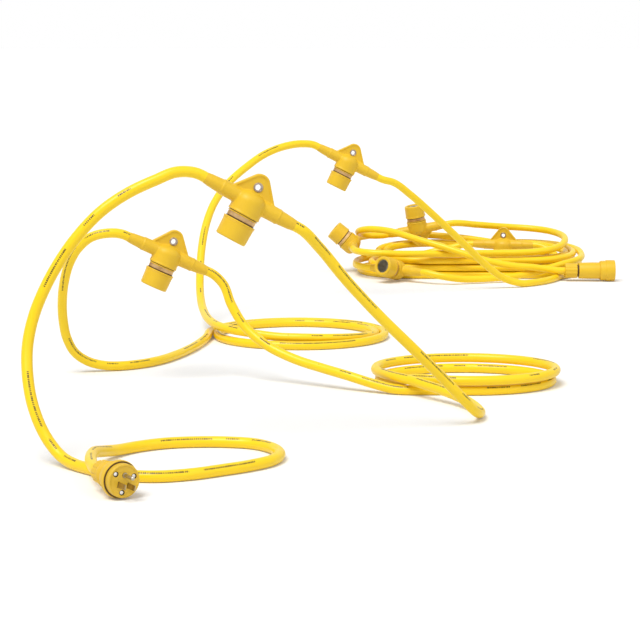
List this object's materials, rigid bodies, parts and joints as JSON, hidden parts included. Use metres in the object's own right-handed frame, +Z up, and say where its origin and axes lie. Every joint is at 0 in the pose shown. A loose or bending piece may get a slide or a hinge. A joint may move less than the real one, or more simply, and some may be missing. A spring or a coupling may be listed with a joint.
{
  "type": "string light cord with lampholders",
  "caption": "Temporary lighting string: screw-base lampholders with hanging tabs moulded in line on a round yellow cord, with a three-pin plug on one end and a sleeved connector on the other.",
  "frame": {"origin": "On the floor, under the middle of the lampholders, plug and connector, measured without the cord.", "axes": "+X right, +Y away from the plug towards the hank, +Z up from the floor that the cord lies on."},
  "size_m": [1.0592, 2.3498, 0.3732],
  "materials": {
    "holder moulding": "satin moulded thermoplastic elastomer",
    "lamp skirt": "satin moulded thermoplastic elastomer",
    "plug moulding": "satin moulded thermoplastic elastomer",
    "face moulding": "smooth moulded face",
    "cord jacket": "smooth extruded jacket, slightly glossy",
    "collar metal": "plated, spun",
    "eyelet metal": "plated, rolled",
    "screw metal": "plated",
    "socket insert": "moulded insulator",
    "screw shell": "rolled sheet",
    "contact brass": "pressed",
    "blade brass": "stamped"
  },
  "bodies": {
    "string": {"holder_body_1": "holder moulding", "holder_body_2": "holder moulding", "holder_body_3": "holder moulding", "holder_body_4": "holder moulding", "holder_body_5": "holder moulding", "holder_body_6": "holder moulding", "holder_body_7": "holder moulding", "collars": "collar metal", "socket_inserts": "socket insert", "screw_shells": "screw shell", "tab_eyelets": "eyelet metal", "plug_shell": "plug moulding", "plug_face": "face moulding", "line_blades": "blade brass", "ground_pin": "blade brass", "face_screws": "screw metal", "connector_body": "plug moulding", "connector_lip": "plug moulding", "connector_face": "face moulding", "connector_contacts": "contact brass", "cord_1_plug_lead": "cord jacket", "cord_2_fall": "cord jacket", "coil_2": "cord jacket", "cord_2_rise": "cord jacket", "cord_3_drop": "cord jacket", "coil_3": "cord jacket", "cord_3_rise": "cord jacket", "cord_4_drop": "cord jacket", "hank_4": "cord jacket", "hank_5": "cord jacket", "hank_6": "cord jacket", "cord_7_lap": "cord jacket", "cord_8_tail": "cord jacket"},
    "plug_nut": {"plug_clamp_nut": "plug moulding"},
    "connector_nut": {"connector_clamp_nut": "plug moulding"},
    "skirt_1": {"lamp_skirt_1": "lamp skirt"},
    "contact_1": {"centre_contact_1": "contact brass"},
    "skirt_2": {"lamp_skirt_2": "lamp skirt"},
    "contact_2": {"centre_contact_2": "contact brass"},
    "skirt_3": {"lamp_skirt_3": "lamp skirt"},
    "contact_3": {"centre_contact_3": "contact brass"},
    "skirt_4": {"lamp_skirt_4": "lamp skirt"},
    "contact_4": {"centre_contact_4": "contact brass"},
    "skirt_5": {"lamp_skirt_5": "lamp skirt"},
    "contact_5": {"centre_contact_5": "contact brass"},
    "skirt_6": {"lamp_skirt_6": "lamp skirt"},
    "contact_6": {"centre_contact_6": "contact brass"},
    "skirt_7": {"lamp_skirt_7": "lamp skirt"},
    "contact_7": {"centre_contact_7": "contact brass"}
  },
  "joints": [
    {"name": "skirt_1_turn", "type": "hinge", "parent": "string", "child": "skirt_1", "pos_m": [-0.28497, -0.82003, 0.29002], "axis": [-0.4742, -0.1008, -0.8746], "range_deg": [0, 180]},
    {"name": "contact_1_travel", "type": "slide", "parent": "string", "child": "contact_1", "axis": [0.4742, 0.1008, 0.8746], "range_m": [0, 0.0015], "stiffness_N_per_m": 800},
    {"name": "skirt_2_turn", "type": "hinge", "parent": "string", "child": "skirt_2", "pos_m": [-0.42833, -0.34437, 0.16475], "axis": [-0.4082, -0.1094, -0.9063], "range_deg": [0, 180]},
    {"name": "contact_2_travel", "type": "slide", "parent": "string", "child": "contact_2", "axis": [0.4082, 0.1094, 0.9063], "range_m": [0, 0.0015], "stiffness_N_per_m": 800},
    {"name": "skirt_3_turn", "type": "hinge", "parent": "string", "child": "skirt_3", "pos_m": [-0.13488, 0.60785, 0.24336], "axis": [-0.4471, -0.0788, -0.891], "range_deg": [0, 180]},
    {"name": "contact_3_travel", "type": "slide", "parent": "string", "child": "contact_3", "axis": [0.4471, 0.0788, 0.891], "range_m": [0, 0.0015], "stiffness_N_per_m": 800},
    {"name": "skirt_4_turn", "type": "hinge", "parent": "string", "child": "skirt_4", "pos_m": [0.244, 1.092, 0.018], "axis": [0, 0, -1], "range_deg": [0, 180]},
    {"name": "contact_4_travel", "type": "slide", "parent": "string", "child": "contact_4", "axis": [0, 0, 1], "range_m": [0, 0.0015], "stiffness_N_per_m": 800},
    {"name": "skirt_5_turn", "type": "hinge", "parent": "string", "child": "skirt_5", "pos_m": [-0.02979, 0.86155, 0.03435], "axis": [-0.5947, -0.7612, 0.2588], "range_deg": [0, 180]},
    {"name": "contact_5_travel", "type": "slide", "parent": "string", "child": "contact_5", "axis": [0.5947, 0.7612, -0.2588], "range_m": [0, 0.0015], "stiffness_N_per_m": 800},
    {"name": "skirt_6_turn", "type": "hinge", "parent": "string", "child": "skirt_6", "pos_m": [-0.13064, 1.042, 0.08771], "axis": [-0.766, 0, 0.6428], "range_deg": [0, 180]},
    {"name": "contact_6_travel", "type": "slide", "parent": "string", "child": "contact_6", "axis": [0.766, 0, -0.6428], "range_m": [0, 0.0015], "stiffness_N_per_m": 800},
    {"name": "skirt_7_turn", "type": "hinge", "parent": "string", "child": "skirt_7", "pos_m": [0.04308, 1.11951, 0.12924], "axis": [-0.173, -0.0872, 0.9811], "range_deg": [0, 180]},
    {"name": "contact_7_travel", "type": "slide", "parent": "string", "child": "contact_7", "axis": [0.173, 0.0872, -0.9811], "range_m": [0, 0.0015], "stiffness_N_per_m": 800},
    {"name": "plug_nut_turn", "type": "hinge", "parent": "string", "child": "plug_nut", "pos_m": [-0.43415, -1.09236, 0.023], "axis": [0.5299, -0.848, 0], "continuous": true},
    {"name": "connector_nut_turn", "type": "hinge", "parent": "string", "child": "connector_nut", "pos_m": [0.374, 0.892, 0.023], "axis": [1, 0, 0], "continuous": true}
  ]
}
